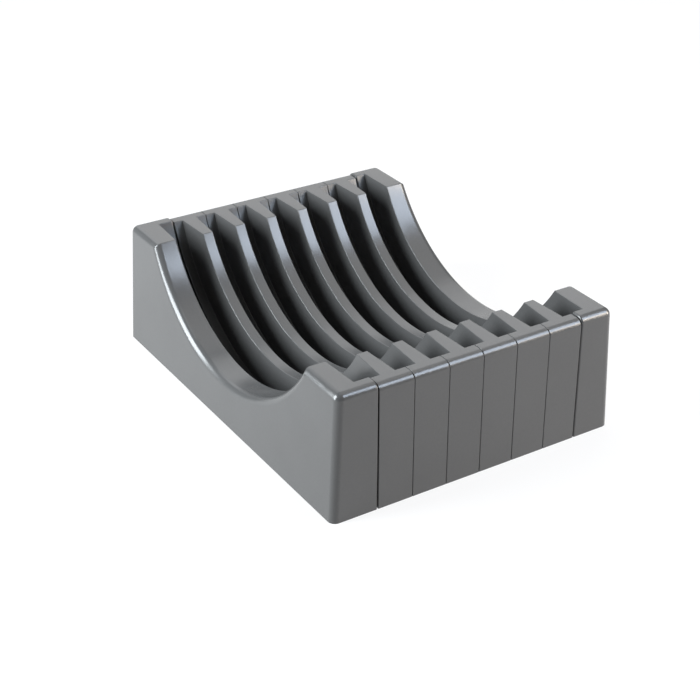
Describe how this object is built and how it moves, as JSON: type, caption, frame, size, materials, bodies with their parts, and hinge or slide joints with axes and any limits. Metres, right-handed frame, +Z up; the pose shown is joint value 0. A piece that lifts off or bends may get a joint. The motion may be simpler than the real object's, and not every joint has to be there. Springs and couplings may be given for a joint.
{
  "type": "modular plate rack",
  "caption": "Saddle-shaped drawer rack of interlocking moulded modules, with parallel curved slots that hold dinner plates on edge.",
  "frame": {"origin": "centre of the base, on the surface the rack stands on", "axes": "+X across the slots from the left end module to the right one, +Y along the slots from front to back, +Z up"},
  "size_m": [0.2538, 0.3256, 0.1032],
  "materials": {
    "grey_plastic": "moulded anthracite grey plastic, finely textured, satin"
  },
  "bodies": {
    "root": {"left_end_module": "grey_plastic", "middle_module_1": "grey_plastic", "middle_module_2": "grey_plastic", "middle_module_3": "grey_plastic", "middle_module_4": "grey_plastic", "middle_module_5": "grey_plastic", "middle_module_6": "grey_plastic", "right_end_module": "grey_plastic"}
  },
  "joints": []
}
